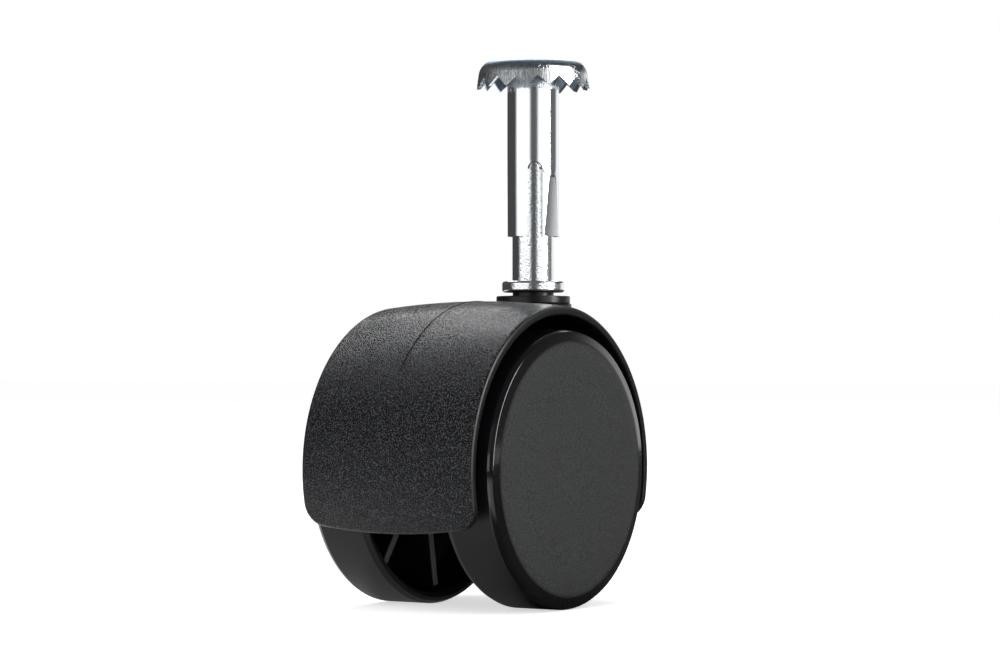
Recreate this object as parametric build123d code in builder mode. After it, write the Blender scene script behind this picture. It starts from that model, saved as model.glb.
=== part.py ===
from build123d import *
import os
from math import radians, sin

# A twin wheel furniture castor with a grip neck stem and its toothed socket.
# Millimetres. The origin lies on the stem's axis, on the collar's top face, which seats on the leg.
# +Z is up, +X is the way the castor leads, and the wheels' axle runs along Y.

# Where the axle lies, below the collar's seat and trailing behind the stem
trail = 18.17
axle_drop = 34.75
running_gap = 0.05

# Wheels: two inch, moulded in one piece each, with a blind hub
wheel_radius = 25.4
tread_inner_side = 9.92
tread_outer_side = 19.0
bevel_inner_radius = 24.9
bevel_side = 19.85
bevel_bulge = 0.2
face_radius = 23.45
face_side = 20.3
face_lip = 0.12
face_crown_side = 21.0
rim_edge_side = 8.8
rim_edge_radius = 24.9
rim_mouth_radius = 24.25
rim_mouth_depth = 0.8
rim_bore_radius = 23.3
disc_side = 18.0
hub_radius = 6.3
hub_side = 5.1
hub_end_room = 0.4
rib_count = 8
rib_thickness = 1.3
rib_side = 12.2
rib_first_angle = 9.5
draft = 0.5

# Axle, its grooves and the wire rings in them
axle_radius = 3.0
axle_half_length = 16.6
axle_chamfer = 0.5
clip_side = 13.0
wire_radius = 0.5
clip_bite = 0.45
clip_room = 0.12
ring_arc = 300

# Hood: barrel shaped cowl, web, axle boss and stem boss
cowl_half_width = 18.6
cowl_middle_radius = 30.67
cowl_end_radius = 29.6
cowl_inner_radius = 28.0
cowl_edge_round = 0.8
skirt_drop = 11.0
skirt_end_drop = 9.5
skirt_corner_round = 4.2
skirt_edge_round = 0.35
web_thickness = 3.0
web_drop = 8.0
axle_boss_radius = 6.5
axle_boss_half_length = 4.8
stem_boss_radius = 7.25
stem_boss_top = -4.3
stem_boss_bottom = -31.0
boss_round = 1.4
ring_pocket_radius = 4.6
ring_pocket_bottom = -28.0

# Swivel bush
bush_radius = 5.0
bush_flange_radius = 6.98
bush_flange_top = -2.8
bush_neck_radius = 3.9
bush_bottom = -21.0
bush_round = 0.25

# Stem
collar_radius = 5.88
collar_thickness = 2.1
collar_round = 0.5
shank_radius = 3.95
neck_radius = 3.1
neck_low = 29.6
neck_high = 32.4
neck_slope = 0.8
stem_top = 38.0
head_round = 2.4
lower_shank_radius = 3.2
stem_bottom = -27.4
stem_tip_chamfer = 1.0
stem_ring_z = -21.65

# Socket, slid upside down onto the stem: slotted tube below, toothed crown above
socket_bottom = 8.5
socket_top = 42.5
tube_radius = 4.9
sheet = 0.8
finger_top = 23.0
finger_taper = 0.06
mouth_round = 1.3
crown_flat_radius = 6.2
crown_flat_round = 3.0
shoulder_radius = 10.09
shoulder_drop = 1.51
shoulder_round = 3.1
crown_edge_radius = 10.75
tooth_tip = 36.45
tooth_depth = 1.85
tooth_count = 16
slot_width = 2.85
slot_top = 22.5
slot_turn = 217.4
slot_end_flat = 0.02
tooth_turn = 207.2
deep_crimp = {"turn": 46, "top": 21.4, "knee": 19.6, "knee_depth": 0.12, "depth": 0.52}
light_crimp = {"turn": -48, "top": 14.8, "knee": 13.6, "knee_depth": 0.004, "depth": 0.04}

tube_bore = tube_radius - sheet
axle_origin = (-trail, 0, -axle_drop)
axle_axis = Axis(axle_origin, (0, 1, 0))
# Half sections about the axle are drawn with the first number along the axle and the second outwards
axle_plane = Plane(origin=axle_origin, x_dir=(0, 1, 0), z_dir=(1, 0, 0))
os.makedirs("parts", exist_ok=True)


def side_plane(y):
    """Plane square to the axle, centred on it, that faces the middle of the castor from +Y."""
    return Plane(origin=(-trail, y, -axle_drop), x_dir=(1, 0, 0), z_dir=(0, -1, 0))


# Hood: the cowl is turned about the axle, then trimmed to the side view of its skirts
with BuildPart() as hood:
    with BuildSketch(axle_plane) as cowl_section:
        with BuildLine():
            ThreePointArc(
                (-cowl_half_width, cowl_end_radius),
                (0, cowl_middle_radius),
                (cowl_half_width, cowl_end_radius),
            )
            Polyline(
                (cowl_half_width, cowl_end_radius),
                (cowl_half_width, cowl_inner_radius),
                (-cowl_half_width, cowl_inner_radius),
                (-cowl_half_width, cowl_end_radius),
            )
        make_face()
    revolve(axis=axle_axis)
    with BuildSketch(axle_plane) as skirt_outline:
        with BuildLine():
            ThreePointArc(
                (-cowl_half_width, -skirt_end_drop),
                (0, -skirt_drop),
                (cowl_half_width, -skirt_end_drop),
            )
            Polyline(
                (cowl_half_width, -skirt_end_drop),
                (cowl_half_width, 2 * cowl_middle_radius),
                (-cowl_half_width, 2 * cowl_middle_radius),
                (-cowl_half_width, -skirt_end_drop),
            )
        make_face()
        fillet(skirt_outline.vertices().group_by(Axis.Y)[0], skirt_corner_round)
    extrude(amount=2 * cowl_middle_radius, both=True, mode=Mode.INTERSECT)
    fillet(hood.faces().filter_by(GeomType.REVOLUTION)[0].edges(), cowl_edge_round)
    cowl_bore = hood.faces().filter_by(GeomType.CYLINDER).sort_by(SortBy.AREA)[-1]
    fillet(cowl_bore.edges(), skirt_edge_round)

    # The web fills the middle of the cowl down to a little below the axle
    with BuildSketch(side_plane(0)) as web_outline:
        Circle(cowl_inner_radius + sheet)
        with Locations((0, -web_drop - cowl_middle_radius)):
            Rectangle(4 * cowl_middle_radius, 2 * cowl_middle_radius, mode=Mode.SUBTRACT)
    extrude(amount=web_thickness / 2, both=True)
    with BuildSketch(side_plane(0)):
        Circle(axle_boss_radius)
    extrude(amount=axle_boss_half_length, both=True)
    with BuildSketch(Plane.XZ) as boss_section:
        with Locations((0, stem_boss_bottom)):
            Rectangle(
                stem_boss_radius,
                stem_boss_top - stem_boss_bottom,
                align=(Align.MIN, Align.MIN),
            )
        fillet(boss_section.vertices().group_by(Axis.Y)[0].sort_by(Axis.X)[-1], boss_round)
    revolve(axis=Axis.Z)
    cowl_skin = hood.faces().filter_by(GeomType.REVOLUTION)[0]
    fillet(cowl_skin.edges().sort_by_distance((0, 0, stem_boss_top))[0], boss_round)

    # Bores for the bush, for the ring and the stem's tip below it, and for the axle
    with BuildSketch(Plane.XY.offset(bush_bottom)):
        Circle(bush_radius)
    extrude(amount=stem_boss_top - bush_bottom, mode=Mode.SUBTRACT)
    with BuildSketch(Plane.XY.offset(ring_pocket_bottom)):
        Circle(ring_pocket_radius)
    extrude(amount=bush_bottom - ring_pocket_bottom, mode=Mode.SUBTRACT)
    with BuildSketch(side_plane(0)):
        Circle(axle_radius)
    extrude(amount=axle_boss_half_length, both=True, mode=Mode.SUBTRACT)
hood.part.label = "hood"
export_step(hood.part, "parts/hood.step")


# Swivel bush: a flanged sleeve whose neck carries the stem's collar
with BuildPart() as swivel_bush:
    with BuildSketch(Plane.XZ) as bush_section:
        with BuildLine():
            Polyline(
                (lower_shank_radius + running_gap, bush_bottom),
                (bush_radius, bush_bottom),
                (bush_radius, stem_boss_top),
                (bush_flange_radius, stem_boss_top),
                (bush_flange_radius, bush_flange_top),
                (bush_neck_radius, bush_flange_top),
                (bush_neck_radius, -collar_thickness),
                (lower_shank_radius + running_gap, -collar_thickness),
                close=True,
            )
        make_face()
        fillet(bush_section.vertices().group_by(Axis.X)[-1], bush_round)
    revolve(axis=Axis.Z)
swivel_bush.part.label = "swivel_bush"
export_step(swivel_bush.part, "parts/swivel_bush.step")


# Stem: one turned and headed pin with its collar, its gripped neck and its rounded head
ring_groove_radius = lower_shank_radius - clip_bite
ring_groove_half = wire_radius + clip_room / 2
with BuildPart() as stem:
    with BuildSketch(Plane.XZ) as stem_section:
        with BuildLine():
            Polyline(
                (0, stem_bottom),
                (lower_shank_radius - stem_tip_chamfer, stem_bottom),
                (lower_shank_radius, stem_bottom + stem_tip_chamfer),
                (lower_shank_radius, stem_ring_z - ring_groove_half),
                (ring_groove_radius, stem_ring_z - ring_groove_half),
                (ring_groove_radius, stem_ring_z + ring_groove_half),
                (lower_shank_radius, stem_ring_z + ring_groove_half),
                (lower_shank_radius, -collar_thickness),
                (collar_radius, -collar_thickness),
                (collar_radius, 0),
                (shank_radius, 0),
                (shank_radius, neck_low),
                (neck_radius, neck_low + neck_slope),
                (neck_radius, neck_high - neck_slope),
                (shank_radius, neck_high),
                (shank_radius, stem_top),
                (0, stem_top),
                close=True,
            )
        make_face()
        fillet(stem_section.vertices().group_by(Axis.X)[-1], collar_round)
        head_corner = stem_section.vertices().group_by(Axis.Y)[-1].sort_by(Axis.X)[-1]
        fillet(head_corner, head_round)
    revolve(axis=Axis.Z)
stem.part.label = "stem"
export_step(stem.part, "parts/stem.step")


# Snap ring: a round wire ring with a gap, which keeps the stem in the bush
with BuildPart() as stem_snap_ring:
    with BuildSketch(Plane.XZ):
        with Locations((ring_groove_radius + wire_radius, stem_ring_z)):
            Circle(wire_radius)
    revolve(axis=Axis.Z, revolution_arc=ring_arc)
stem_snap_ring.part.label = "stem_snap_ring"
export_step(stem_snap_ring.part, "parts/stem_snap_ring.step")


# Axle: a steel pin with a groove for each wheel's clip
clip_groove_radius = axle_radius - clip_bite
clip_groove_half = wire_radius + clip_room / 2
with BuildPart() as axle:
    with BuildSketch(axle_plane) as axle_section:
        Rectangle(2 * axle_half_length, axle_radius, align=(Align.CENTER, Align.MIN))
        chamfer(axle_section.vertices().group_by(Axis.Y)[-1], axle_chamfer)
        with Locations((-clip_side, axle_radius), (clip_side, axle_radius)):
            Rectangle(2 * clip_groove_half, 2 * clip_bite, mode=Mode.SUBTRACT)
    revolve(axis=axle_axis)
axle.part.label = "axle"
export_step(axle.part, "parts/axle.step")


# Axle clips: the same wire ring, one in each groove
for clip_name, side in (("axle_clip_left", 1), ("axle_clip_right", -1)):
    with BuildPart() as axle_clip:
        with BuildSketch(axle_plane):
            with Locations((side * clip_side, clip_groove_radius + wire_radius)):
                Circle(wire_radius)
        revolve(axis=axle_axis, revolution_arc=ring_arc)
    axle_clip.part.label = clip_name
    export_step(axle_clip.part, f"parts/{clip_name}.step")


# Wheel: rim, disc and blind hub are turned as one section, then the ribs are set between them
hub_bore = axle_radius + running_gap
hub_bore_end = axle_half_length + hub_end_room
undercut_radius = clip_groove_radius + 2 * wire_radius + clip_room
undercut_half = wire_radius + clip_room
face_edge_side = face_side + face_lip
face_curve = (face_radius**2 + (face_crown_side - face_edge_side) ** 2) / (
    2 * (face_crown_side - face_edge_side)
)
with BuildPart() as wheel_left:
    with BuildSketch(axle_plane) as wheel_section:
        with BuildLine():
            Polyline(
                (face_crown_side, 0),
                (hub_bore_end, 0),
                (hub_bore_end, hub_bore),
                (clip_side + undercut_half, hub_bore),
                (clip_side + undercut_half, undercut_radius),
                (clip_side - undercut_half, undercut_radius),
                (clip_side - undercut_half, hub_bore),
                (hub_side, hub_bore),
                (hub_side, hub_radius - draft),
                (disc_side, hub_radius),
                (disc_side, rim_bore_radius - draft),
                (rim_edge_side + rim_mouth_depth, rim_bore_radius),
                (rim_edge_side, rim_mouth_radius),
                (rim_edge_side, rim_edge_radius),
                (tread_inner_side, wheel_radius),
                (tread_outer_side, wheel_radius),
            )
            SagittaArc(
                (tread_outer_side, wheel_radius),
                (bevel_side, bevel_inner_radius),
                -bevel_bulge,
            )
            Polyline(
                (bevel_side, bevel_inner_radius),
                (face_side, face_radius),
                (face_edge_side, face_radius),
            )
            RadiusArc((face_edge_side, face_radius), (face_crown_side, 0), face_curve)
        make_face()
    revolve(axis=axle_axis)
    rib_length = rim_bore_radius - hub_radius
    with BuildSketch(side_plane(disc_side)):
        with PolarLocations((rim_bore_radius + hub_radius) / 2, rib_count, rib_first_angle - 90):
            Rectangle(rib_length + draft, rib_thickness)
    extrude(amount=disc_side - rib_side)
wheel_left.part.label = "wheel_left"
export_step(wheel_left.part, "parts/wheel_left.step")

with BuildPart() as wheel_right:
    mirror(wheel_left.part, about=Plane.XZ)
wheel_right.part.label = "wheel_right"
export_step(wheel_right.part, "parts/wheel_right.step")


# Socket: one sheet drawn up the tube, out over the top and down the crown's skirt
with BuildPart() as socket:
    with BuildSketch(Plane.XZ):
        with BuildLine() as sheet_face:
            FilletPolyline(
                (tube_bore, socket_bottom),
                (tube_bore, socket_top),
                (crown_flat_radius, socket_top),
                (shoulder_radius, socket_top - shoulder_drop),
                (crown_edge_radius, tooth_tip),
                radius=[mouth_round, crown_flat_round, shoulder_round],
            )
            offset(amount=sheet, side=Side.RIGHT)
        make_face()
        with BuildLine():
            Polyline(
                (tube_radius, finger_top),
                (tube_radius - finger_taper, socket_bottom),
                (tube_radius + sheet, socket_bottom),
                (tube_radius + sheet, finger_top),
                close=True,
            )
        make_face(mode=Mode.SUBTRACT)
    revolve(axis=Axis.Z)

    # Teeth: V notches cut inwards all round the skirt's edge
    tooth_pitch = 2 * crown_edge_radius * sin(radians(180 / tooth_count))
    for notch in range(tooth_count):
        notch_angle = tooth_turn + (notch + 0.5) * 360 / tooth_count
        with BuildSketch(Plane.YZ.rotated((0, 0, notch_angle)).offset(tube_radius + sheet)):
            with BuildLine():
                Polyline(
                    (-tooth_pitch / 2, tooth_tip - sheet),
                    (-tooth_pitch / 2, tooth_tip),
                    (0, tooth_tip + tooth_depth),
                    (tooth_pitch / 2, tooth_tip),
                    (tooth_pitch / 2, tooth_tip - sheet),
                    close=True,
                )
            make_face()
        extrude(amount=crown_edge_radius, mode=Mode.SUBTRACT)

    # Slots: one cut through both walls, open at the bottom and round at the top
    with BuildSketch(Plane.YZ.rotated((0, 0, slot_turn))) as slot_outline:
        with Locations((0, slot_top)):
            Rectangle(slot_width, slot_top - socket_bottom + sheet, align=(Align.CENTER, Align.MAX))
        fillet(slot_outline.vertices().group_by(Axis.Y)[-1], (slot_width - slot_end_flat) / 2)
    extrude(amount=2 * tube_radius, both=True, mode=Mode.SUBTRACT)

    # Crimps: sloping flats pressed into the fingers beside each slot, deepest at the bottom
    low_z = socket_bottom - sheet
    for crimp in (deep_crimp, light_crimp):
        high_point = (tube_radius + running_gap, crimp["top"])
        knee_point = (tube_radius - crimp["knee_depth"], crimp["knee"])
        low_point = (tube_radius - crimp["depth"], low_z)
        for half_turn in (0, 180):
            crimp_turn = slot_turn + crimp["turn"] + half_turn
            with BuildSketch(Plane.XZ.rotated((0, 0, crimp_turn))):
                with BuildLine():
                    Polyline(
                        high_point,
                        knee_point,
                        low_point,
                        (tube_radius + sheet, low_z),
                        (tube_radius + sheet, crimp["top"]),
                        high_point,
                    )
                make_face()
            extrude(amount=tube_radius, both=True, mode=Mode.SUBTRACT)
socket.part.label = "socket"
export_step(socket.part, "parts/socket.step")
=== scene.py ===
# %% [markdown]
# # A twin wheel castor, dressed for the camera
#
# The CAD model gives every hard shape at its real size. This lesson keeps those shapes, turns the
# two wheels as finely rounded mouldings, adds the fine line that the mould leaves on the hood, and
# gives every surface the finish of the real thing: grained nylon, satin nylon and bright zinc
# plate.
#
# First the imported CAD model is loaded. It is the fixed frame for all the rest, in metres, with the
# origin on the stem's axis at the top of its collar.

# %% Load the frame
import math

import bmesh
import bpy
from mathutils import Matrix, Vector


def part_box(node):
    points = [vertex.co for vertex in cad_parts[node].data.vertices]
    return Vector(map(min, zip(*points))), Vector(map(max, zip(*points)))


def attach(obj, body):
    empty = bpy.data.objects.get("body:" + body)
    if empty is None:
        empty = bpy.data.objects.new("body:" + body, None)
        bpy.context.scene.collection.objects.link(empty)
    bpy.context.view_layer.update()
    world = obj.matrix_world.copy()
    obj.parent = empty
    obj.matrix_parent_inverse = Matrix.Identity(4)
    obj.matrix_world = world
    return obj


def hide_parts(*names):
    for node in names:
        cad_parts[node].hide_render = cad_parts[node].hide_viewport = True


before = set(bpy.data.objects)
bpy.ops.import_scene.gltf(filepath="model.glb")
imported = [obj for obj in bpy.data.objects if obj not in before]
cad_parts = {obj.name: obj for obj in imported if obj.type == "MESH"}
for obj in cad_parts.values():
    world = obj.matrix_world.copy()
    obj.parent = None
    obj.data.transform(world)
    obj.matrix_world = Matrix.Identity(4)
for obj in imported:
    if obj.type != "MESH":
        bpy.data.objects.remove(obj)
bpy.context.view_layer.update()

MM = 0.001

# %% [markdown]
# ## The camera
#
# A photograph fixes its camera: the ellipses of the two wheels, the width of the tube and the
# place of the collar were fitted together, and only one viewpoint explains them all. It stands a
# little behind and to the right of the castor, almost level with it, with a long lens. Building
# the camera from an azimuth, an elevation and a distance keeps those facts readable.

# %% Camera
photo_azimuth = math.radians(-55.98)
photo_elevation = math.radians(-0.589)
photo_target = Vector((-3.52, 5.22, -9.865)) * MM
photo_distance = 581.9 * MM
towards_camera = Vector(
    (
        math.sin(photo_azimuth) * math.cos(photo_elevation),
        -math.cos(photo_azimuth) * math.cos(photo_elevation),
        math.sin(photo_elevation),
    )
)

camera_data = bpy.data.cameras.new("photo_camera")
camera_data.sensor_width = 36
camera_data.lens = 110.53
camera_data.clip_start = 0.01
camera = bpy.data.objects.new("photo_camera", camera_data)
camera.location = photo_target + towards_camera * photo_distance
camera.rotation_euler = towards_camera.to_track_quat("Z", "Y").to_euler()
bpy.context.scene.collection.objects.link(camera)
bpy.context.scene.camera = camera
bpy.context.scene.view_settings.view_transform = "Standard"
print("camera at", [round(v, 4) for v in camera.location])

# %% [markdown]
# ## A small kit for shader maths
#
# Materials here are built from nodes in code. Wiring each Math node by hand hides the formula, so
# one small class wraps a socket and lets Python's own operators add the nodes. Everything else
# comes from one method that takes a node's type, its settings and then its sockets.

# %% Shader kit
def plug(tree, socket, value):
    """Link a signal to a socket, or set the socket to a plain value."""
    if isinstance(value, Signal):
        tree.links.new(value.socket, socket)
    else:
        socket.default_value = value


class Signal:
    """One number inside a node tree, which Python's operators can act on."""

    def __init__(self, tree, socket):
        self.tree = tree
        self.socket = socket

    def math(self, operation, *values):
        made = self.tree.nodes.new("ShaderNodeMath")
        made.operation = operation
        for socket, value in zip(made.inputs, values):
            plug(self.tree, socket, value)
        return Signal(self.tree, made.outputs[0])

    def __add__(self, other):
        return self.math("ADD", self, other)

    def __radd__(self, other):
        return self.math("ADD", other, self)

    def __sub__(self, other):
        return self.math("SUBTRACT", self, other)

    def __rsub__(self, other):
        return self.math("SUBTRACT", other, self)

    def __mul__(self, other):
        return self.math("MULTIPLY", self, other)

    def __rmul__(self, other):
        return self.math("MULTIPLY", other, self)

    def __abs__(self):
        return self.math("ABSOLUTE", self)


class Recipe:
    """A node tree for a material or a world, with one method for every kind of node."""

    def __init__(self, owner, output):
        owner.use_nodes = True
        self.tree = owner.node_tree
        self.tree.nodes.clear()
        self.output = self.tree.nodes.new(output)

    def node(self, kind, settings=None, sockets=None, out=0):
        made = self.tree.nodes.new(kind)
        for name, value in (settings or {}).items():
            if name == "stops":
                ramp = made.color_ramp
                while len(ramp.elements) < len(value):
                    ramp.elements.new(0.5)
                for element, (place, colour) in zip(ramp.elements, value):
                    element.position = place
                    element.color = colour
            else:
                setattr(made, name, value)
        for name, value in (sockets or {}).items():
            plug(self.tree, made.inputs[name], value)
        return Signal(self.tree, made.outputs[out])

    def finish(self, shader):
        self.tree.links.new(shader.socket, self.output.inputs["Surface"])

    def place(self):
        """Where a point lies on the object, in millimetres."""
        here = self.node("ShaderNodeTexCoord", out="Object")
        return self.node(
            "ShaderNodeVectorMath", {"operation": "SCALE"}, {"Vector": here, "Scale": 1 / MM}
        )

    def part(self, vector, axis):
        return self.node("ShaderNodeSeparateXYZ", None, {"Vector": vector}, out=axis)

    def vector(self, x, y, z):
        return self.node("ShaderNodeCombineXYZ", None, {"X": x, "Y": y, "Z": z})

    def length(self, vector):
        return self.node(
            "ShaderNodeVectorMath", {"operation": "LENGTH"}, {"Vector": vector}, out="Value"
        )

    def dot(self, vector, axis):
        """How far a vector reaches along a fixed axis."""
        return self.node(
            "ShaderNodeVectorMath", {"operation": "DOT_PRODUCT"}, {0: vector, 1: axis}, out="Value"
        )

    def angle(self, y, x):
        """The angle of a direction, in radians, from its two parts."""
        return self.node("ShaderNodeMath", {"operation": "ARCTAN2"}, {0: y, 1: x})

    def largest(self, first, second):
        return self.node("ShaderNodeMath", {"operation": "MAXIMUM"}, {0: first, 1: second})

    def noise(self, where, scale, detail=2.0, roughness=0.5):
        return self.node(
            "ShaderNodeTexNoise",
            None,
            {"Vector": where, "Scale": scale, "Detail": detail, "Roughness": roughness},
            out="Fac",
        )

    def step(self, value, low, high):
        """0 below low, 1 above high, and a smooth ramp between them."""
        return self.node(
            "ShaderNodeMapRange",
            {"interpolation_type": "SMOOTHSTEP"},
            {"Value": value, "From Min": low, "From Max": high},
        )

    def blend(self, factor, first, second):
        """A mix of two colours."""
        made = self.tree.nodes.new("ShaderNodeMix")
        made.data_type = "RGBA"
        plug(self.tree, made.inputs[0], factor)
        plug(self.tree, made.inputs[6], first)
        plug(self.tree, made.inputs[7], second)
        return Signal(self.tree, made.outputs[2])

    def relief(self, height, depth_mm, strength=1.0):
        """A bump of a height from 0 to 1, and its real depth in millimetres."""
        return self.node(
            "ShaderNodeBump",
            None,
            {"Height": height, "Distance": depth_mm * MM, "Strength": strength},
        )


def new_material(name):
    material = bpy.data.materials.new(name)
    return material, Recipe(material, "ShaderNodeOutputMaterial")


def grey(value, blue=0.0):
    """A grey, a little bluer where blue is above 0."""
    return (value * (1 - blue), value * (1 - blue / 2), value * (1 + blue), 1)


print("shader kit ready")

# %% [markdown]
# ## Grained nylon for the hood
#
# The hood's mould was spark eroded, so the nylon carries a coarse grain of small rounded pits and
# grains, about a third of a millimetre across. An image texture would tile and would need
# unwrapping. Noise and cell patterns on the object's own millimetres give the grain its real size
# on every face. The relief makes the sparkle, and the grain's tops are a little paler, because
# they are rubbed. The skirt's foot is worn smooth, its cut end is plain, and the inside was never
# grained.

# %% Hood material
axle_x = -18.17
axle_z = -34.75
hood_end_side = 18.35
hood_inner_radius = 29.3
wear_begins_z = -41
wear_ends_z = -50
grain_scale = 3.9
pit_scale = 4.2
grain_depth = 0.19
valley_black = grey(0.0015, 0.12)
rubbed_black = grey(0.058, 0.10)
shade_black = grey(0.006, 0.04)
inside_black = grey(0.004)
cut_end_black = (0.044, 0.042, 0.038, 1)


def from_axle_line(recipe, where):
    """Distance of a point from the wheels' axle line, in millimetres."""
    across = recipe.part(where, "X") - axle_x
    upright = recipe.part(where, "Z") - axle_z
    return recipe.length(recipe.vector(across, 0.0, upright))


hood_material, recipe = new_material("hood_grained_nylon")
where = recipe.place()
side = abs(recipe.part(where, "Y"))
outside = recipe.step(from_axle_line(recipe, where), hood_inner_radius - 0.3, hood_inner_radius)
on_end = recipe.step(side, hood_end_side, hood_end_side + 0.1)
worn = recipe.step(recipe.part(where, "Z"), wear_begins_z, wear_ends_z) * 0.9
grained = outside * (1 - on_end) * (1 - worn)

pits = recipe.node(
    "ShaderNodeTexVoronoi", {"feature": "F1"}, {"Vector": where, "Scale": pit_scale}
)
skin = recipe.noise(where, grain_scale, 1.0, 0.7) * 0.9 + pits * 0.35
grain = recipe.step(skin, 0.50, 0.78)
specks = recipe.step(skin, 0.62, 0.80)
cloud = recipe.noise(where, 0.09, 2.0)

speckled = recipe.blend(specks * (1 - worn), valley_black, rubbed_black)
clouded = recipe.blend(cloud * 0.2, speckled, shade_black)
outer_colour = recipe.blend(on_end, clouded, cut_end_black)
hood_colour = recipe.blend(outside, inside_black, outer_colour)
recipe.finish(
    recipe.node(
        "ShaderNodeBsdfPrincipled",
        None,
        {
            "Base Color": hood_colour,
            "Roughness": 0.22 + grained * grain * 0.05 + (1 - outside) * 0.3,
            "Specular IOR Level": 0.26,
            "Normal": recipe.relief(grain * grained, grain_depth),
        },
    )
)
print("hood material:", len(recipe.tree.nodes), "nodes")

# %% [markdown]
# ## Satin and gloss nylon for the wheels
#
# One moulding has three finishes outside, because three parts of its mould were finished
# differently: a fine matt face, a polished ring round it, and a satin tread. A mask by distance
# from the axle and by height along it picks the zone, so the borders fall exactly on the
# moulding's own edges. The ring takes a clear coat, which keeps its thin highlight sharp.

# %% Wheel material
face_radius = 23.45
face_side = 20.3
ring_side = 18.9
face_valley = (0.016, 0.0175, 0.016, 1)
face_top = (0.054, 0.057, 0.054, 1)

wheel_material, recipe = new_material("wheel_nylon")
where = recipe.place()
from_axle = from_axle_line(recipe, where)
side = abs(recipe.part(where, "Y"))
within_face = recipe.step(from_axle, face_radius + 0.1, face_radius - 0.9)
on_face = within_face * recipe.step(side, face_side - 0.2, face_side)
on_ring = recipe.step(side, ring_side, ring_side + 0.15) * (1 - on_face)

fine = recipe.noise(where, 3.4, 3.0, 0.65)
cloud = recipe.noise(where, 0.12, 3.0)
face_colour = recipe.blend(recipe.step(fine, 0.3, 0.75), face_valley, face_top)
tread_colour = recipe.blend(cloud, grey(0.002, 0.2), grey(0.006, 0.2))
skin_colour = recipe.blend(on_face, tread_colour, face_colour)
recipe.finish(
    recipe.node(
        "ShaderNodeBsdfPrincipled",
        None,
        {
            "Base Color": recipe.blend(on_ring, skin_colour, grey(0.003, 0.05)),
            "Roughness": 0.40 + on_face * 0.14 + fine * 0.06 - on_ring * 0.27,
            "Specular IOR Level": 0.24,
            "Coat Weight": on_ring,
            "Coat Roughness": 0.06,
            "Normal": recipe.relief(fine * (0.1 + on_face * 0.9), 0.05),
        },
    )
)
print("wheel material:", len(recipe.tree.nodes), "nodes")

# %% [markdown]
# ## Dull nylon in the wheels' cups
#
# Inside its cup the moulding was never polished, so it is a dull black, and only the ribs' open
# edges are painted paler, a painted highlight for the light they catch. The ribs could have a
# material of their own, but a mask by height and by distance from the axle finds the same edges
# and leaves out the hub and the rim.

# %% Cup material
rib_edge_side = 12.3
hub_skin_radius = 6.4
rim_skin_radius = 22.7
# Painted highlight: the paler colour of the ribs' open edges
painted_highlight_edge = (0.15, 0.145, 0.14, 1)

cup_material, recipe = new_material("wheel_cup_nylon")
where = recipe.place()
side = abs(recipe.part(where, "Y"))
from_axle = from_axle_line(recipe, where)
beyond_hub = recipe.step(from_axle, hub_skin_radius, hub_skin_radius + 0.2)
before_rim = recipe.step(from_axle, rim_skin_radius, rim_skin_radius - 0.2)
# Painted highlight: the ribs' open edges take a paler colour for the light they catch
on_rib_edge = recipe.step(side, rib_edge_side + 0.4, rib_edge_side) * beyond_hub * before_rim
recipe.finish(
    recipe.node(
        "ShaderNodeBsdfPrincipled",
        None,
        {
            "Base Color": recipe.blend(on_rib_edge, grey(0.0025), painted_highlight_edge),
            "Roughness": 0.62 + recipe.noise(where, 3.0) * 0.1,
            "Specular IOR Level": 0.22,
        },
    )
)
print("cup material:", len(recipe.tree.nodes), "nodes")

# %% [markdown]
# ## Black acetal for the bush
#
# The bush is a slippery plastic with the plain satin skin that a turned steel mould gives. Very
# fine rings left by the turning show as faint changes of gloss.

# %% Bush material
bush_material, recipe = new_material("bush_acetal")
where = recipe.place()
rings = recipe.noise(recipe.vector(0.0, 0.0, recipe.part(where, "Z")), 9.0, 2.0)
recipe.finish(
    recipe.node(
        "ShaderNodeBsdfPrincipled",
        None,
        {
            "Base Color": recipe.blend(rings, grey(0.003), grey(0.006)),
            "Roughness": 0.24 + rings * 0.16,
            "Normal": recipe.relief(rings, 0.01, 0.4),
        },
    )
)
print("bush material:", len(recipe.tree.nodes), "nodes")

# %% [markdown]
# ## Bright zinc plate
#
# The stem is cold headed from wire and the socket is drawn from sheet, and both are then plated.
# The plate is a mirror with a soft haze, a little blue here and there. The draw leaves fine
# marks that run along the metal's flow: down the socket's skirt, where the sheet was squeezed
# most. A noise that is read at the angle round the axis, and hardly at all along it, gives such
# marks. The stem was rolled, so its skin is coarser, and the same noise in all three directions
# gives its small pits. Two things only the socket has: inside the crown a duller plate, whose
# darker and bluer colour is painted shade for that hollow, and crimps that a round-nosed tool
# leaves a little hollow, so that they shade from dark to light.

# %% Masks on the socket
tube_radius = 4.9
crimp_angle = math.radians(263.4)
crimp_flat = 3.9
crimp_hollow_depth = 0.022
skirt_foot = 36.0
skirt_slant = 0.11
skirt_wall = 14.30
crown_ceiling = 41.75


def turned_about_stem(recipe, where, angle):
    """How far a point lies towards an angle about the stem's axis, and across it."""
    x = recipe.part(where, "X")
    y = recipe.part(where, "Y")
    towards = x * math.cos(angle) + y * math.sin(angle)
    across = y * math.cos(angle) - x * math.sin(angle)
    return towards, across


def inside_crown(recipe, radius, height):
    """1 on the inner face of the socket's crown, 0 elsewhere."""
    beyond_tube = recipe.step(radius, tube_radius + 0.1, tube_radius + 0.4)
    within_skirt = recipe.step(radius + height * skirt_slant, skirt_wall, skirt_wall - 0.12)
    below_top = recipe.step(height, crown_ceiling, crown_ceiling - 0.15)
    return beyond_tube * within_skirt * below_top


def inside_crimp(recipe, radius, towards):
    """1 on the flats that are pressed into the tube, on the crimp's own side and opposite."""
    off_bore = recipe.step(radius, tube_radius - 0.7, tube_radius - 0.6)
    off_skin = recipe.step(radius, tube_radius, tube_radius - 0.06)
    return off_bore * off_skin * recipe.step(abs(towards), crimp_flat, crimp_flat + 0.2)


print("crimp at", round(math.degrees(crimp_angle), 1), "degrees about the stem")

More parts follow.
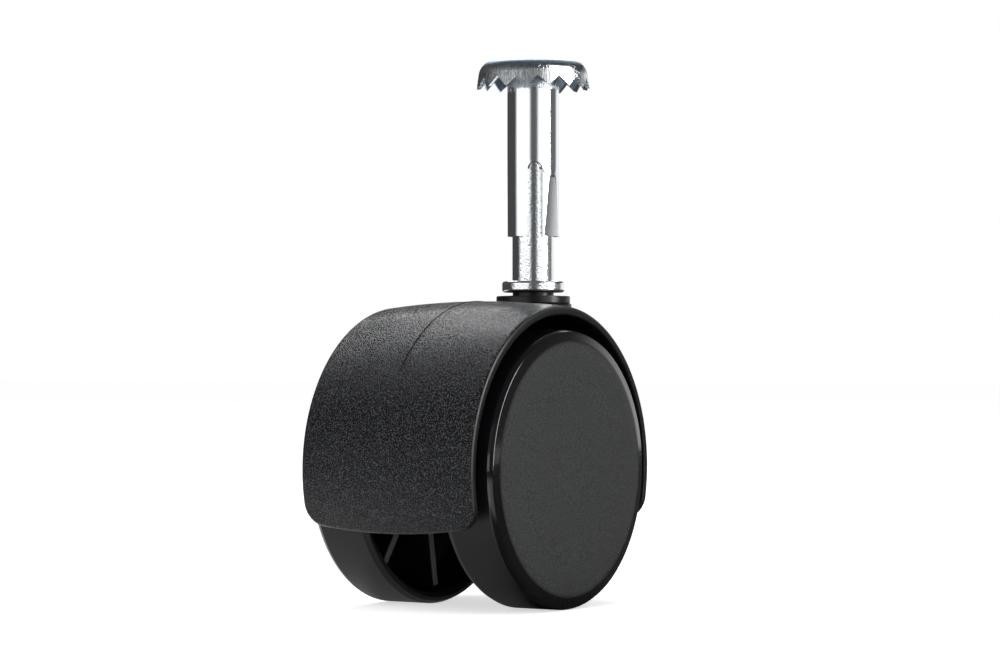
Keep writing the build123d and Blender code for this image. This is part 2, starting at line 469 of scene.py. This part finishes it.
# %% Zinc materials
bright_plate = (0.95, 0.97, 0.98, 1)
blue_plate = (0.87, 0.91, 0.95, 1)
hazy_plate = (0.40, 0.43, 0.45, 1)
# Painted shade: darker, bluer plate colours for the inside of the crown
painted_shade_plate_dark = (0.22, 0.30, 0.38, 1)
painted_shade_plate_pale = (0.62, 0.72, 0.82, 1)
marks_round = 18
marks_along = 0.22


def zinc(name, haze, marks, mottle, depth_mm, pressed=0.0):
    """Bright zinc: its haze, its draw marks and mottle, and what only the pressed socket has."""
    material, recipe = new_material(name)
    where = recipe.place()
    height = recipe.part(where, "Z")
    radius = recipe.length(recipe.vector(recipe.part(where, "X"), recipe.part(where, "Y"), 0.0))
    angle = recipe.angle(recipe.part(where, "Y"), recipe.part(where, "X"))
    on_skirt = recipe.step(height, skirt_foot, skirt_foot + 1)
    in_crown = inside_crown(recipe, radius, height) * pressed
    towards_crimp, across_crimp = turned_about_stem(recipe, where, crimp_angle)
    in_crimp = inside_crimp(recipe, radius, towards_crimp) * pressed

    flow = recipe.vector(angle * marks_round, height * marks_along, 0.0)
    lines = recipe.noise(flow, 2.2, 3.0, 0.7)
    pits = recipe.noise(where, 2.8, 1.5, 0.6)
    dull = recipe.step(pits, 0.52, 0.72)
    streaks = recipe.step(lines, 0.42, 0.60) * on_skirt * marks

    plate = recipe.blend(recipe.noise(where, 0.16, 2.0), bright_plate, blue_plate)
    marked = recipe.blend(dull * mottle * 0.15 + streaks * 0.6, plate, hazy_plate)
    # Painted shade inside the crown, streaked along the draw marks
    painted_shade_plate = recipe.blend(lines, painted_shade_plate_dark, painted_shade_plate_pale)
    hollow = across_crimp * across_crimp * in_crimp * (crimp_hollow_depth / depth_mm)
    height_map = lines * (on_skirt * 0.92 + 0.08) * marks + pits * mottle + hollow
    recipe.finish(
        recipe.node(
            "ShaderNodeBsdfPrincipled",
            None,
            {
                "Base Color": recipe.blend(in_crown, marked, painted_shade_plate),
                "Metallic": 1.0,
                "Roughness": haze + dull * mottle * 0.08 + lines * 0.05 + in_crown * 0.25,
                "Normal": recipe.relief(height_map, depth_mm),
            },
        )
    )
    print(name + ":", len(recipe.tree.nodes), "nodes")
    return material


socket_material = zinc("socket_bright_zinc", 0.08, 1.0, 0.04, 0.075, pressed=1.0)
stem_material = zinc("stem_bright_zinc", 0.09, 0.1, 1.0, 0.034)
steel_material = zinc("plain_steel", 0.3, 0.1, 0.1, 0.05)

# %% [markdown]
# ## Dress the CAD pieces
#
# The hood, bush, stem, socket, axle and wire rings already have their right shapes, so each keeps
# its CAD mesh and only takes a finish.

# %% Finish the CAD nodes
finishes = {
    "hood": hood_material,
    "swivel_bush": bush_material,
    "stem": stem_material,
    "socket": socket_material,
    "stem_snap_ring": steel_material,
    "axle": steel_material,
    "axle_clip_left": steel_material,
    "axle_clip_right": steel_material,
    "wheel_left": wheel_material,
    "wheel_right": wheel_material,
}
for node_name, material in finishes.items():
    for node_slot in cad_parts[node_name].material_slots:
        node_slot.material = material
    print(node_name, "takes", material.name)

# %% [markdown]
# ## A small kit for geometry trees
#
# Geometry Nodes make what follows a rule. Each tree gets named inputs for its sizes, so it reads
# like a drawing with dimensions. The helper adds nodes, wires them, and turns the result into
# plain mesh.

# %% Geometry kit
class Tree:
    """A Geometry Nodes tree with named inputs."""

    def __init__(self, name):
        self.group = bpy.data.node_groups.new(name, "GeometryNodeTree")
        self.start = self.group.nodes.new("NodeGroupInput")
        self.end = self.group.nodes.new("NodeGroupOutput")
        self.identifiers = {}
        self.add_input("Geometry", "NodeSocketGeometry")
        self.group.interface.new_socket(
            "Geometry", in_out="OUTPUT", socket_type="NodeSocketGeometry"
        )

    def add_input(self, name, kind="NodeSocketFloat"):
        made = self.group.interface.new_socket(name, in_out="INPUT", socket_type=kind)
        self.identifiers[name] = made.identifier
        return self.start.outputs[name]

    def node(self, kind, settings=None, sockets=None, out=0):
        made = self.group.nodes.new(kind)
        for name, value in (settings or {}).items():
            setattr(made, name, value)
        for name, value in (sockets or {}).items():
            for source in value if isinstance(value, list) else [value]:
                if isinstance(source, bpy.types.NodeSocket):
                    self.group.links.new(source, made.inputs[name])
                else:
                    made.inputs[name].default_value = source
        return made.outputs[out]

    def math(self, operation, first, second):
        return self.node("ShaderNodeMath", {"operation": operation}, {0: first, 1: second})

    def finish(self, geometry, material):
        """Close the tree with real geometry in one material."""
        real = self.node("GeometryNodeRealizeInstances", None, {"Geometry": geometry})
        coated = self.node(
            "GeometryNodeSetMaterial", None, {"Geometry": real, "Material": material}
        )
        self.group.links.new(coated, self.end.inputs[0])

    def make(self, start_data, name, sizes):
        """Run the tree on some starting data and return a plain mesh object."""
        carrier = bpy.data.objects.new(name + "_carrier", start_data)
        bpy.context.scene.collection.objects.link(carrier)
        modifier = carrier.modifiers.new("tree", "NODES")
        modifier.node_group = self.group
        for size_name, value in sizes.items():
            modifier[self.identifiers[size_name]] = value
        depsgraph = bpy.context.evaluated_depsgraph_get()
        mesh = bpy.data.meshes.new_from_object(carrier.evaluated_get(depsgraph))
        bpy.data.objects.remove(carrier)
        mesh.name = name
        piece = bpy.data.objects.new(name, mesh)
        bpy.context.scene.collection.objects.link(piece)
        return piece


def tidy_mesh(mesh, weld=1e-7):
    """Close poles and seams, and turn all faces outwards."""
    work = bmesh.new()
    work.from_mesh(mesh)
    bmesh.ops.remove_doubles(work, verts=work.verts, dist=weld)
    bmesh.ops.dissolve_degenerate(work, edges=work.edges, dist=weld)
    bmesh.ops.recalc_face_normals(work, faces=work.faces)
    work.to_mesh(mesh)
    work.free()


print("geometry kit ready")

# %% [markdown]
# ## The wheels
#
# Each wheel is one nylon moulding: a turned section with a blind hub, and eight straight ribs
# between hub and rim. It could be modelled by hand, but both halves follow a rule, so a tree turns
# the section round the axle and sets the ribs round it. The section's corners carry their own
# rounding in the curve's radius, and the Fillet Curve node cuts each one. Those roundings are what
# catches the light: the polished ring shows as one thin bright line, and the face rolls off into
# it over two millimetres instead of at a hard edge.

# %% Wheel section
tread_radius = 25.4
crown_side = 21.0
roll_radius = 21.3
rim_edge_side = 8.8
disc_side = 18.0
hub_side = 5.1
hub_bore = 3.05
hub_bore_end = 17.0
clip_room_radius = 3.67
clip_room_low = 12.38
clip_room_high = 13.62


def crown_points(count):
    """Points along the face's slight crown, from where it rolls off to the axis."""
    edge_side = face_side + 0.12
    rise = crown_side - edge_side
    reach = (face_radius**2 + rise**2) / (2 * rise)
    points = []
    for i in range(count):
        radius = roll_radius * (1 - i / count)
        points.append((radius, crown_side - reach + math.sqrt(reach**2 - radius**2), 0))
    return points


# Each corner: distance from the axle, height along it, and rounding, all in millimetres. They run
# from the face's middle out over the ring and the tread, in to the disc, and down the hub's bore.
wheel_section = [
    (0, crown_side, 0),
    *reversed(crown_points(6)[1:]),
    (*crown_points(6)[0][:2], 9.0),
    (face_radius, face_side, 0.9),
    (24.9, 20.02, 0.3),
    (25.28, 19.45, 0.4),
    (tread_radius, 19.0, 0.5),
    (tread_radius, 9.92, 0.3),
    (24.9, rim_edge_side, 0.12),
    (24.25, rim_edge_side, 0.12),
    (23.3, 9.6, 0.3),
    (22.8, disc_side, 0.4),
    (6.3, disc_side, 0.4),
    (5.8, hub_side, 0.2),
    (hub_bore, hub_side, 0.1),
    (hub_bore, clip_room_low, 0),
    (clip_room_radius, clip_room_low, 0),
    (clip_room_radius, clip_room_high, 0),
    (hub_bore, clip_room_high, 0),
    (hub_bore, hub_bore_end, 0),
    (0, hub_bore_end, 0),
]
print("wheel section:", len(wheel_section), "corners")

# %% [markdown]
# The tree's first half turns the section. Curve to Mesh sweeps a profile along a path, so a small
# circle is the path, like a lathe's spindle, and the section is drawn that much nearer to the
# axis.

# %% Wheel tree: the turned section
wheel_tree = Tree("wheel_moulding")
spindle = 1.0 * MM
rib_count = wheel_tree.add_input("Rib Count", "NodeSocketInt")
rib_thickness = wheel_tree.add_input("Rib Thickness")
rib_depth = wheel_tree.add_input("Rib Depth")
rib_length = wheel_tree.add_input("Rib Length")
rib_middle = wheel_tree.add_input("Rib Middle Radius")
rib_height = wheel_tree.add_input("Rib Middle Height")
rib_turn = wheel_tree.add_input("First Rib Angle")
facets = wheel_tree.add_input("Facets", "NodeSocketInt")

rounded_section = wheel_tree.node(
    "GeometryNodeFilletCurve",
    {"mode": "POLY"},
    {
        "Curve": wheel_tree.start.outputs["Geometry"],
        "Count": 4,
        "Radius": wheel_tree.node("GeometryNodeInputRadius"),
        "Limit Radius": True,
    },
)
even_section = wheel_tree.node(
    "GeometryNodeSetCurveRadius", None, {"Curve": rounded_section, "Radius": 1.0}
)
turned = wheel_tree.node(
    "GeometryNodeCurveToMesh",
    None,
    {
        "Curve": wheel_tree.node(
            "GeometryNodeCurvePrimitiveCircle", None, {"Resolution": facets, "Radius": spindle}
        ),
        "Profile Curve": even_section,
    },
)
print("turned section in the tree:", len(wheel_tree.group.nodes), "nodes")

# %% [markdown]
# The second half sets the ribs. One rib is a rounded outline swept along a short line. A mesh
# circle marks the middle of each rib, and the ribs are placed there and turned to point away from
# the axis.

# %% Wheel tree: the ribs
rib_outline = wheel_tree.node(
    "GeometryNodeFilletCurve",
    {"mode": "POLY"},
    {
        "Curve": wheel_tree.node(
            "GeometryNodeCurvePrimitiveQuadrilateral",
            None,
            {"Width": rib_thickness, "Height": rib_depth},
        ),
        "Count": 3,
        "Radius": 0.25 * MM,
        "Limit Radius": True,
    },
)
half_rib = wheel_tree.math("MULTIPLY", rib_length, 0.5)
rib_line = wheel_tree.node(
    "GeometryNodeCurvePrimitiveLine",
    None,
    {
        "Start": wheel_tree.node(
            "ShaderNodeCombineXYZ", None, {"X": wheel_tree.math("MULTIPLY", half_rib, -1)}
        ),
        "End": wheel_tree.node("ShaderNodeCombineXYZ", None, {"X": half_rib}),
    },
)
rib = wheel_tree.node(
    "GeometryNodeCurveToMesh",
    None,
    {"Curve": rib_line, "Profile Curve": rib_outline, "Fill Caps": True},
)
rib_ring = wheel_tree.node(
    "GeometryNodeTransform",
    None,
    {
        "Geometry": wheel_tree.node(
            "GeometryNodeMeshCircle", None, {"Vertices": rib_count, "Radius": rib_middle}
        ),
        "Translation": wheel_tree.node("ShaderNodeCombineXYZ", None, {"Z": rib_height}),
        "Rotation": wheel_tree.node("ShaderNodeCombineXYZ", None, {"Z": rib_turn}),
    },
)
outwards = wheel_tree.node(
    "ShaderNodeVectorMath",
    {"operation": "MULTIPLY"},
    {0: wheel_tree.node("GeometryNodeInputPosition"), 1: (1, 1, 0)},
)
ribs = wheel_tree.node(
    "GeometryNodeInstanceOnPoints",
    None,
    {
        "Points": rib_ring,
        "Instance": rib,
        "Rotation": wheel_tree.node(
            "FunctionNodeAlignRotationToVector", {"axis": "X"}, {"Vector": outwards}
        ),
    },
)
whole_wheel = wheel_tree.node("GeometryNodeJoinGeometry", None, {"Geometry": [turned, ribs]})
wheel_tree.finish(whole_wheel, wheel_material)
print("wheel tree:", len(wheel_tree.group.nodes), "nodes")

# %% [markdown]
# The tree runs once for each wheel, and the left one is mirrored to give the right one. The faces
# inside the cup take the dull finish, and each wheel then rides on its own body.

# %% Make the two wheels
cup_radius = 24.2
cup_side = 18.2
wheel_sizes = {
    "Rib Count": 8,
    "Rib Thickness": 1.3 * MM,
    "Rib Depth": 6.2 * MM,
    "Rib Length": 17.6 * MM,
    "Rib Middle Radius": 14.6 * MM,
    "Rib Middle Height": 15.3 * MM,
    "First Rib Angle": math.radians(90 - 9.5),
    "Facets": 160,
}
axle_place = Matrix.Translation((axle_x * MM, 0, axle_z * MM))
z_onto_y = Matrix(((1, 0, 0, 0), (0, 0, 1, 0), (0, -1, 0, 0), (0, 0, 0, 1)))


def section_curve(name, corners):
    """A closed poly curve whose point radius holds each corner's rounding."""
    curve = bpy.data.curves.new(name, "CURVE")
    curve.dimensions = "3D"
    spline = curve.splines.new("POLY")
    spline.points.add(len(corners) - 1)
    spline.use_cyclic_u = True
    for point, (radius, height, rounding) in zip(spline.points, corners):
        point.co = (radius * MM - spindle, -height * MM, 0, 1)
        point.radius = rounding * MM
    return curve


for wheel_name, flip in (("wheel_left", 1), ("wheel_right", -1)):
    section = section_curve(wheel_name + "_section", wheel_section)
    wheel = wheel_tree.make(section, wheel_name + "_moulding", wheel_sizes)
    wheel.data.transform(Matrix.Diagonal((1, flip, 1, 1)) @ axle_place @ z_onto_y)
    tidy_mesh(wheel.data)
    wheel.data.shade_smooth()
    wheel.data.materials.clear()
    wheel.data.materials.append(wheel_material)
    wheel.data.materials.append(cup_material)
    for face in wheel.data.polygons:
        from_axle = math.hypot(face.center.x - axle_x * MM, face.center.z - axle_z * MM)
        in_cup = from_axle < cup_radius * MM and abs(face.center.y) < cup_side * MM
        face.material_index = 1 if in_cup else 0
    even = wheel.modifiers.new("even_shading", "WEIGHTED_NORMAL")
    even.keep_sharp = True
    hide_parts(wheel_name)
    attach(wheel, wheel_name)
    low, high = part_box(wheel_name)
    made = [v.co for v in wheel.data.vertices]
    print(
        wheel_name,
        len(wheel.data.polygons),
        "faces; CAD side",
        round(low.y / MM, 2),
        round(high.y / MM, 2),
        "made",
        round(min(c.y for c in made) / MM, 2),
        round(max(c.y for c in made) / MM, 2),
    )

# %% [markdown]
# ## The hood's parting line
#
# The mould's two halves meet along the hood's middle, and leave a hair-fine line over its back. A
# groove cut into the CAD would be far below its tolerances. A fine dark bead that follows the same
# arc, sunk almost to the surface, shows the same line, and a tree draws it from the arc's own
# sizes. The line is plainest at the top and dies away down the back, so the bead gets thinner
# along its way.

# %% Parting line
line_material, recipe = new_material("parting_line_nylon")
where = recipe.place()
recipe.finish(
    recipe.node(
        "ShaderNodeBsdfPrincipled",
        None,
        {
            "Base Color": recipe.blend(recipe.noise(where, 3.0), grey(0.001), grey(0.004)),
            "Roughness": 0.8,
            "Specular IOR Level": 0.02,
        },
    )
)

line_tree = Tree("parting_line")
arc_radius = line_tree.add_input("Arc Radius")
arc_start = line_tree.add_input("Start Angle")
arc_sweep = line_tree.add_input("Sweep Angle")
bead_radius = line_tree.add_input("Bead Radius")
bead_path = line_tree.node(
    "GeometryNodeCurveArc",
    {"mode": "RADIUS"},
    {"Resolution": 96, "Radius": arc_radius, "Start Angle": arc_start, "Sweep Angle": arc_sweep},
)
along_arc = line_tree.node("GeometryNodeSplineParameter", out="Factor")
left_over = line_tree.math("SUBTRACT", 1.0, along_arc)
fade = line_tree.node(
    "ShaderNodeMapRange",
    None,
    {"Value": left_over, "From Min": 0.0, "From Max": 1.0, "To Min": 0.68, "To Max": 1.0},
)
tapered_path = line_tree.node(
    "GeometryNodeSetCurveRadius", None, {"Curve": bead_path, "Radius": fade}
)
bead = line_tree.node(
    "GeometryNodeCurveToMesh",
    None,
    {
        "Curve": tapered_path,
        "Scale": line_tree.node("GeometryNodeInputRadius"),
        "Profile Curve": line_tree.node(
            "GeometryNodeCurvePrimitiveCircle", None, {"Resolution": 10, "Radius": bead_radius}
        ),
        "Fill Caps": True,
    },
)
line_tree.finish(bead, line_material)

cowl_radius = 30.67
bead_depth = 0.15
y_onto_z = Matrix(((1, 0, 0, 0), (0, 0, -1, 0), (0, 1, 0, 0), (0, 0, 0, 1)))
for line_name, start, sweep in (("rear", 79, 66), ("front", 38, -56)):
    line = line_tree.make(
        bpy.data.meshes.new("empty_start"),
        "hood_parting_line_" + line_name,
        {
            "Arc Radius": (cowl_radius - bead_depth) * MM,
            "Start Angle": math.radians(start),
            "Sweep Angle": math.radians(sweep),
            "Bead Radius": 0.25 * MM,
        },
    )
    line.data.transform(axle_place @ y_onto_z)
    tidy_mesh(line.data)
    line.data.shade_smooth()
    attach(line, "hood")
    print(line.name, len(line.data.polygons), "faces")

# %% [markdown]
# ## Floor
#
# The castor stands on a plain white sweep. The floor's colour alone would never be exactly white,
# so for the camera and for reflections it also glows a little, and the soft contact shadow stays.
# In a real studio only the middle of the sweep is lit. Its unlit parts, far to the left, to the
# right and close beside the wheel, are seen only in reflections, where they keep the black nylon
# black.

# %% Floor
floor_half_size = 6
white_paint = (0.82, 0.82, 0.82, 1)
unlit_paint = (0.06, 0.06, 0.06, 1)
seen_glow = 0.62
mirrored_glow = 0.25
right_of_view = Vector((-towards_camera.y, towards_camera.x, 0)).normalized()

floor_material, recipe = new_material("white_sweep")
is_camera = recipe.node("ShaderNodeLightPath", out="Is Camera Ray")
is_glossy = recipe.node("ShaderNodeLightPath", out="Is Glossy Ray")
is_through = recipe.node("ShaderNodeLightPath", out="Is Transmission Ray")

# Distances on the floor are in metres
spot = recipe.node("ShaderNodeTexCoord", out="Object")
off_centre = recipe.length(spot)
to_the_right = recipe.dot(spot, right_of_view)
towards_right_side = recipe.part(spot, "Y")
far_left = recipe.step(off_centre, 0.10, 0.40) * recipe.step(to_the_right, 0.5, 0.2)
near_right = recipe.step(to_the_right, -0.01, 0.02) * recipe.step(to_the_right, 2.2, 1.6)
near_wheel = recipe.step(off_centre, 0.08, 0.05)
beside_wheel = recipe.step(towards_right_side, -0.010, -0.017) * near_wheel
unlit = recipe.largest(recipe.largest(far_left, near_right), beside_wheel) * is_glossy

paint = recipe.blend(unlit, white_paint, unlit_paint)
glow = (is_camera + is_through) * seen_glow + is_glossy * (1 - unlit) * mirrored_glow
recipe.finish(
    recipe.node(
        "ShaderNodeAddShader",
        None,
        {
            0: recipe.node("ShaderNodeBsdfDiffuse", None, {"Color": paint}),
            1: recipe.node(
                "ShaderNodeEmission", None, {"Color": (1, 1, 1, 1), "Strength": glow}
            ),
        },
    )
)

floor_mesh = bpy.data.meshes.new("floor")
work = bmesh.new()
bmesh.ops.create_grid(work, x_segments=1, y_segments=1, size=floor_half_size)
work.to_mesh(floor_mesh)
work.free()
floor = bpy.data.objects.new("floor", floor_mesh)
floor.location = Vector((axle_x, 0, axle_z - tread_radius)) * MM
floor_mesh.materials.append(floor_material)
bpy.context.scene.collection.objects.link(floor)
print("floor at", round(floor.location.z / MM, 2), "mm")

# %% [markdown]
# ## Light
#
# The photograph was taken in a white tent: large soft lamps above and at both sides, and a dark
# gap for the camera. Black nylon shows it as a soft sheen on top, and bright metal as white bands
# between dark ones. The lamps are area lights, and they are left out of reflections, because the
# tent's own panels are what the photograph's metal mirrors.

# %% Lamps
lamp_aim = Vector((axle_x * MM, 0, -0.02))


def lamp(name, azimuth, elevation, distance, size, power):
    """A soft square lamp that faces the castor, at an angle round it from the camera."""
    data = bpy.data.lights.new(name, "AREA")
    data.shape = "SQUARE"
    data.size = size
    data.energy = power
    made = bpy.data.objects.new(name, data)
    turn = math.atan2(towards_camera.y, towards_camera.x) + math.radians(azimuth)
    rise = math.radians(elevation)
    direction = Vector(
        (math.cos(turn) * math.cos(rise), math.sin(turn) * math.cos(rise), math.sin(rise))
    )
    made.location = lamp_aim + direction * distance
    made.rotation_euler = direction.to_track_quat("Z", "Y").to_euler()
    made.visible_glossy = False
    bpy.context.scene.collection.objects.link(made)
    print(name, "at", [round(v, 2) for v in made.location])


# Azimuth and elevation in degrees, distance and size in metres, power in watts
lamp("top_lamp", 180, 80, 0.9, 0.7, 6)
lamp("left_lamp", -50, 38, 0.9, 0.5, 3)
lamp("right_lamp", 60, 30, 1.0, 0.5, 2)
lamp("front_lamp", 0, 2, 0.9, 0.25, 1.2)

# %% [markdown]
# The tent is the world. It is white for the camera and a plain grey for soft light. For
# reflections it is a ring of white and dark panels, set by their angle from the camera, with a
# bright lamp behind the castor and a narrow strip lamp at its right. A picture of a real tent
# would do the same, but colour ramps over the angle need no file, and each panel stays a number
# that can be moved.

# %% World: the rings of panels
world = bpy.data.worlds.new("tent")
bpy.context.scene.world = world
recipe = Recipe(world, "ShaderNodeOutputWorld")
flat_view = Vector((towards_camera.x, towards_camera.y, 0)).normalized()
beside_view = Vector((-flat_view.y, flat_view.x, 0))
direction = recipe.node("ShaderNodeTexCoord", out="Generated")
turn = recipe.angle(recipe.dot(direction, beside_view), recipe.dot(direction, flat_view))
round_view = turn * (1 / math.tau) + 0.5


def ring_of_panels(levels):
    """A ring of panels round the castor, from pairs of an angle and a brightness."""
    stops = [(0.5 + degrees / 360, (level, level, level, 1)) for degrees, level in levels]
    return recipe.node("ShaderNodeValToRGB", {"stops": stops}, {"Fac": round_view})


low_ring = ring_of_panels(
    [
        (-180, 0.04),
        (-88, 0.04),
        (-71, 1),
        (-24, 1),
        (-9, 0.07),
        (14, 0.085),
        (29, 1),
        (66, 1),
        (80, 0.08),
        (116, 0.10),
        (129, 0.66),
        (180, 0.66),
    ]
)
middle_ring = ring_of_panels(
    [
        (-180, 0.05),
        (-118, 0.05),
        (-90, 0.15),
        (-10, 0.2),
        (-2, 0.11),
        (24, 0.11),
        (33, 1),
        (76, 1),
        (86, 0.05),
    ]
)
print("rings of panels:", len(recipe.tree.nodes), "nodes")

# %% World: the lamps and the whole tent
back_lamp_level = 4.8
strip_lamp_level = 9
foot_strip_level = 0.62
panel_gain = 0.45
roof = (0.05, 0.055, 0.06, 1)
soft_light = (0.45, 0.45, 0.46, 1)
white = (1, 1, 1, 1)


def between_turns(low, full_low, full_high, high):
    """1 between two angles from the camera, in degrees, with a soft edge at each side."""
    return recipe.step(turn, math.radians(low), math.radians(full_low)) * recipe.step(
        turn, math.radians(high), math.radians(full_high)
    )


rise = recipe.node("ShaderNodeMath", {"operation": "ARCSINE"}, {0: recipe.part(direction, "Z")})
elevation = rise * (180 / math.pi)
aside = abs(turn) * (180 / math.pi)
foot_strip = recipe.step(elevation, 2.2, 0.8) * between_turns(60, 76, 87, 106)
strip_lamp = recipe.step(elevation, 50, 42) * between_turns(60, 64, 75, 80)
back_height = recipe.step(elevation, 26, 31) * recipe.step(elevation, 71, 55)
back_lamp = recipe.step(aside, 153, 170) * back_height

low_walls = recipe.blend(foot_strip, low_ring, grey(foot_strip_level))
walls = recipe.blend(recipe.step(elevation, 10, 14), low_walls, middle_ring)
roofed = recipe.blend(recipe.step(elevation, 31, 36), walls, roof)
back_lit = recipe.blend(back_lamp, roofed, (*[back_lamp_level] * 3, 1))
tent = recipe.blend(strip_lamp, back_lit, (*[strip_lamp_level] * 3, 1))

is_camera = recipe.node("ShaderNodeLightPath", out="Is Camera Ray")
is_glossy = recipe.node("ShaderNodeLightPath", out="Is Glossy Ray")
unseen = recipe.blend(is_glossy, soft_light, tent)
recipe.finish(
    recipe.node(
        "ShaderNodeBackground",
        None,
        {
            "Color": recipe.blend(is_camera, unseen, white),
            "Strength": 1 + is_glossy * panel_gain,
        },
    )
)
print("world:", len(recipe.tree.nodes), "nodes")
